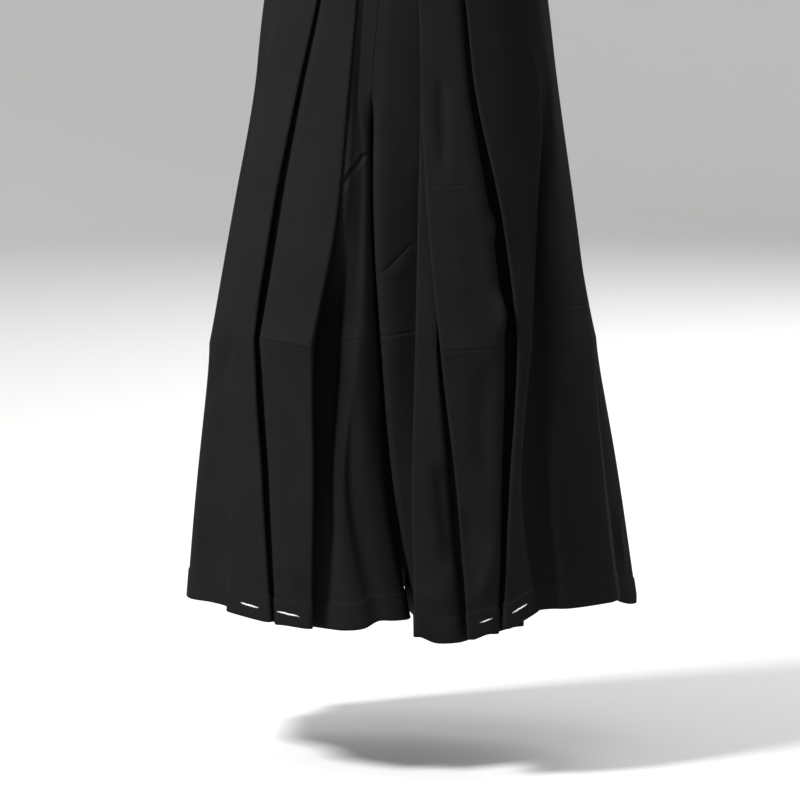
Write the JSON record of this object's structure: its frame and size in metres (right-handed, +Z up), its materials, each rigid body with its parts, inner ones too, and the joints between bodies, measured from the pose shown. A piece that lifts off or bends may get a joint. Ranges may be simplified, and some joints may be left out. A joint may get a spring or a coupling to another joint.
{
  "type": "wide-leg skirt pants",
  "caption": "Long wide trousers that hang like a pleated skirt: knife pleats in the fronts, plain flared backs, open legs and a lapped waistband.",
  "frame": {"origin": "middle of the waist opening, level with the top edge of the waistband", "axes": "+Z up along the wearer, the front faces -Y, +X is the wearer's left"},
  "size_m": [0.544, 0.4499, 0.934],
  "materials": {
    "twill": "fine black worsted twill, matt with a faint sheen on the lit folds",
    "button": "dull black resin"
  },
  "bodies": {
    "root": {"front_right": "twill", "front_left": "twill", "back_right": "twill", "back_left": "twill", "waistband": "twill", "waist_button": "button"}
  },
  "joints": []
}
